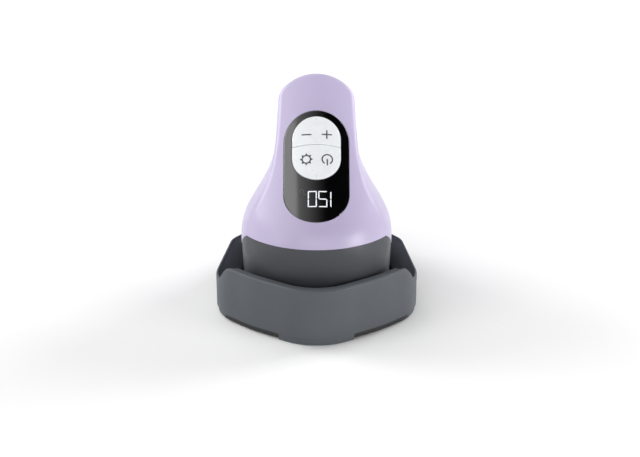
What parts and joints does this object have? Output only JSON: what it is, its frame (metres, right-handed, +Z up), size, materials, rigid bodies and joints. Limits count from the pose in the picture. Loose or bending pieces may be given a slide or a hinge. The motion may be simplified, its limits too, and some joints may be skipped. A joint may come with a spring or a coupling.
{
  "type": "mini heat press",
  "caption": "Mini heat press for craft film: flared handle with sloping touch panel over a dark heat-proof collar, resting in an insulated safety dock.",
  "frame": {"origin": "middle of the footprint on the surface that the dock stands on", "axes": "+Z up, -Y towards the pointed front that carries the panel, X across the mirror plane"},
  "size_m": [0.097, 0.1139, 0.1094],
  "materials": {
    "dock_plastic": "fine matte texture",
    "dark_plastic": "matte",
    "silicone": "matte",
    "rubber": "matte",
    "steel": "satin",
    "aluminium": "satin",
    "collar_plastic": "fine matte texture",
    "lilac_plastic": "satin",
    "lens_black": "polished",
    "key_white": "satin",
    "ceramic_fibre": "felted",
    "ceramic": "matte",
    "board_green": "solder-resist satin",
    "component_black": "matte",
    "relay_blue": "satin",
    "terminal_green": "satin",
    "chassis_plastic": "matte",
    "lead_sleeve": "braided glass sleeve",
    "cable_grey": "satin"
  },
  "bodies": {
    "dock": {"dock_shell": "dock_plastic", "dock_bottom_cover": "dark_plastic", "rest_mat": "silicone", "foot_front": "dock_plastic", "foot_left": "rubber", "foot_right": "rubber", "foot_rear": "rubber", "dock_screws": "steel"},
    "press": {"collar": "collar_plastic", "front_shell": "lilac_plastic", "rear_shell": "lilac_plastic", "shell_screws": "steel", "heating_plate": "aluminium", "heating_element": "steel", "element_clamps": "steel", "thermal_cutoff": "component_black", "temperature_sensor": "steel", "insulation_pad": "ceramic_fibre", "heat_shield": "aluminium", "standoffs": "ceramic", "plate_screws": "steel", "chassis": "chassis_plastic", "power_board": "board_green", "relay": "relay_blue", "capacitor": "component_black", "terminal_block": "terminal_green", "heater_leads": "lead_sleeve", "control_board": "board_green", "display_module": "component_black", "tact_switches": "component_black", "key_carrier": "chassis_plastic", "panel_lens": "lens_black", "lens_seal": "rubber", "board_screws": "steel", "ribbon_cable": "cable_grey", "cord_grommet": "rubber", "cord_clamp": "chassis_plastic"},
    "mode_key": {"rocker_mode": "key_white"},
    "adjust_key": {"rocker_adjust": "key_white"}
  },
  "joints": [
    {"name": "press_lift", "type": "slide", "parent": "dock", "child": "press", "axis": [0, 0, 1], "range_m": [0, 0.05]},
    {"name": "mode_rock", "type": "hinge", "parent": "press", "child": "mode_key", "pos_m": [0, -0.0154, 0.07249], "axis": [0, 0.7254, 0.6884], "range_deg": [-2.2, 2.2], "stiffness_Nm_per_rad": 0.05},
    {"name": "adjust_rock", "type": "hinge", "parent": "press", "child": "adjust_key", "pos_m": [0, -0.003, 0.08426], "axis": [0, 0.7254, 0.6884], "range_deg": [-2.2, 2.2], "stiffness_Nm_per_rad": 0.05}
  ]
}
